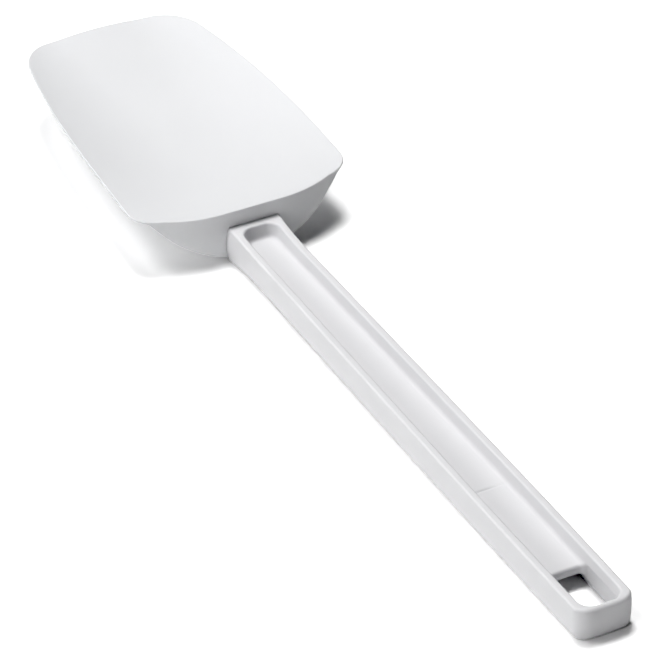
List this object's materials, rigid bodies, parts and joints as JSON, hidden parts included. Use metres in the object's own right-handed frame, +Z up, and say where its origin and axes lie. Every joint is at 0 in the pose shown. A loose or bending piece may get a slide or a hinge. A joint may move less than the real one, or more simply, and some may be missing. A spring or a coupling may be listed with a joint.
{
  "type": "rubber spatula",
  "caption": "Spoon-shaped kitchen spatula: a soft dished rubber blade moulded onto a grooved plastic handle with a hanging slot at its butt.",
  "frame": {"origin": "middle of the bounding box at the surface the spatula lies on", "axes": "+X along the spatula from the butt of the handle to the tip of the blade, +Y to its left, +Z up out of the bowl of the blade"},
  "size_m": [0.3427, 0.078, 0.0242],
  "materials": {
    "handle_plastic": "moulded white plastic with a fine satin grain",
    "blade_rubber": "smooth matte white rubber"
  },
  "bodies": {
    "handle": {"handle": "handle_plastic"},
    "blade": {"blade": "blade_rubber"}
  },
  "joints": [
    {"name": "blade_flex", "type": "hinge", "parent": "handle", "child": "blade", "pos_m": [0.0685, 0, 0.0085], "axis": [0, 1, 0], "range_deg": [-25, 25], "stiffness_Nm_per_rad": 2.5, "deforming": ["blade"]}
  ]
}
